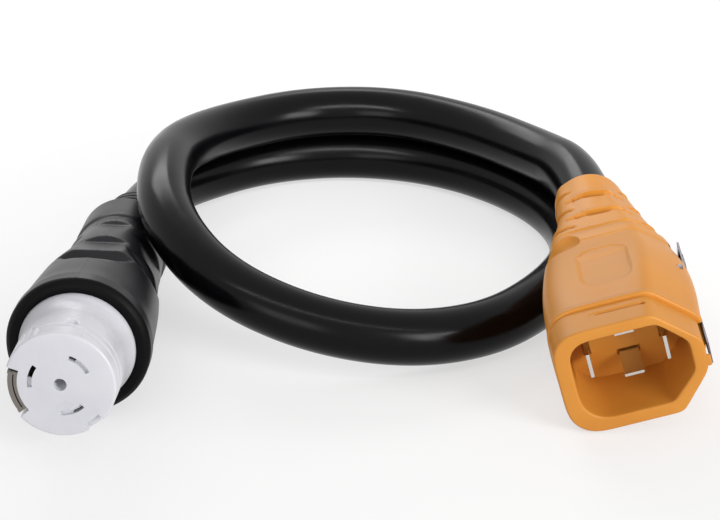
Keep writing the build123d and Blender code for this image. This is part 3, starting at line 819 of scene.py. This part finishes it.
lever = bmesh.new()
lever.from_mesh(frame["nodes"]["latch"].data)
lever.transform(plug_end.inverted())
bmesh.ops.remove_doubles(lever, verts=lever.verts, dist=0.002)
bmesh.ops.dissolve_limit(lever, angle_limit=radians(1), verts=lever.verts, edges=lever.edges)
long_edges = [e for e in lever.edges if e.calc_length() > 9 and e.calc_face_angle(0) > radians(40)]
bmesh.ops.bevel(
    lever, geom=long_edges, offset=0.22, offset_type="OFFSET", affect="EDGES", segments=2, profile=0.5,
    clamp_overlap=False, material=-1,
)


def plate(form, corners, half_width):
    """A flat plate across the lever, from (x, depth) corners of its edge."""
    faces = []
    for side in (-half_width, half_width):
        faces.append(form.faces.new([form.verts.new((x, side, -depth)) for x, depth in corners]))
    low, high = (list(face.verts) for face in faces)
    for place in range(len(corners)):
        after = (place + 1) % len(corners)
        form.faces.new((low[place], low[after], high[after], high[place]))


# the strip is folded back on itself at its tip, and has three low ridges for the thumb
plate(lever, [(37.5, 91.4), (38.2, 91.45), (38.2, 90.6), (36.1, 78.6), (35.5, 78.9)], 5.6)
for depth in (74.0, 77.5, 81.0):
    foot, crown = (38.1, 0.9), (38.75, 0.3)
    plate(lever, [
        (foot[0], depth - foot[1]), (crown[0], depth - crown[1]),
        (crown[0], depth + crown[1]), (foot[0], depth + foot[1]),
    ], 5.0)
bmesh.ops.recalc_face_normals(lever, faces=lever.faces)
finish_piece(
    lever, "latch_lever", pressed_steel, ["latch"], body="latch", place=plug_end,
)

# ==================== pieces that keep their CAD shape, with softened edges ====================

rounded_copy("blade_carrier", "blade_block", pbt_orange, 0.3)
for side in ("right", "top", "left", "ground"):
    rounded_copy(f"blade_{side}", f"{side}_blade", nickel_brass, 0.2)
for number in (1, 2, 3):
    rounded_copy(f"line_contact_{number}", f"line_leaf_{number}", nickel_brass, 0.1)

strip = bmesh.new()
strip.from_mesh(frame["nodes"]["ground_contact"].data)
strip.transform(lock_end.inverted())
# the band over the strip's folds, and two low ribs round it: inner, outer, span, front, back
for inner, outer, span, front, back in (
    (22.6, 24.9, 50, 0.7, 28.2), (24.7, 25.3, 44, 9.5, 10.3), (24.7, 25.2, 44, 19.5, 20.3),
):
    band = arc_block(inner, outer, ground_middle, span, front, back)
    mesh = bpy.data.meshes.new("band")
    band.to_mesh(mesh)
    band.free()
    strip.from_mesh(mesh)
    bpy.data.meshes.remove(mesh)
finish_piece(
    strip, "ground_strip", tinned_steel, ["ground_contact"], place=lock_end,
)
rounded_copy("latch_pin", "latch_hinge_pin", pressed_steel, 0.2)
for name, material in (("latch_spring", pressed_steel), ("lock_carrier", nylon_carrier)):
    frame["nodes"][name].material_slots[0].material = material
for number in (1, 2, 3, 4):
    frame["nodes"][f"lock_wire_{number}"].material_slots[0].material = pvc_conductor
    frame["nodes"][f"plug_wire_{number}"].material_slots[0].material = pvc_conductor

# ==================== floor, light and surroundings ====================

# White paper: plain and dull, and it keeps the soft shadow.
own_white, room_level = 0.6, 0.49
paper, tree = new_material("white_paper_sweep")
seen = (seen_directly(tree), "Value")
dull = node(tree, "ShaderNodeBsdfDiffuse", {
    "Color": (mixed(tree, seen, "#e4e4e4", "#fbfbfb"), "Result"),
})
# seen straight or in a reflection, part of the paper's tone is its own white, which thins the shadow
bright = node(tree, "ShaderNodeEmission", {"Color": linear("#ffffff"), "Strength": 1.0})
share = node(tree, "ShaderNodeMath", {0: seen, 1: own_white}, operation="MULTIPLY")
shader = node(tree, "ShaderNodeMixShader", {
    0: (share, "Value"), 1: (dull, "BSDF"), 2: (bright, "Emission"),
})
node(tree, "ShaderNodeOutputMaterial", {"Surface": (shader, "Shader")})

floor_half_size, floor_drop = 3.0, 0.0004
form = bmesh.new()
bmesh.ops.create_grid(form, x_segments=1, y_segments=1, size=floor_half_size)
form.transform(Matrix.Translation((0, 0, -floor_drop)))
mesh = bpy.data.meshes.new("floor")
form.to_mesh(mesh)
form.free()
floor = bpy.data.objects.new("floor", mesh)
mesh.materials.append(paper)
scene.collection.objects.link(floor)

world = bpy.data.worlds.new("studio")
world.use_nodes = True
world.node_tree.nodes.clear()
tree = world.node_tree
level = node(tree, "ShaderNodeMapRange", {
    "Value": (seen_directly(tree), "Value"), "To Min": room_level, "To Max": 1.0,
})
shader = node(tree, "ShaderNodeBackground", {
    "Color": linear("#ffffff"), "Strength": (level, "Result"),
})
node(tree, "ShaderNodeOutputWorld", {"Surface": (shader, "Background")})
scene.world = world

lamps = [
    # name, place, aim, width, height, power
    ("back_softbox", (-0.45, 1.25, 0.95), (0.0, 0.05, 0.03), 1.0, 0.45, 6.5),
    ("flagged_strip", (0.0, -0.41, 0.71), (0.0, 0.49, 1.14), 0.9, 0.45, 14.0),
    ("key_softbox", (1.15, -1.05, 0.65), (0.0, 0.0, 0.03), 0.8, 0.6, 18.0),
    ("fill_softbox", (-0.60, -1.50, 0.50), (0.0, 0.0, 0.03), 0.8, 0.6, 4.0),
]
for name, place, aim, width, height, power in lamps:
    light = bpy.data.lights.new(name, "AREA")
    light.shape = "RECTANGLE"
    light.size, light.size_y = width, height
    light.energy = power
    lamp = bpy.data.objects.new(name, light)
    lamp.location = place
    lamp.rotation_euler = (Vector(aim) - Vector(place)).to_track_quat("-Z", "Y").to_euler()
    scene.collection.objects.link(lamp)

scene.view_settings.view_transform = "Standard"
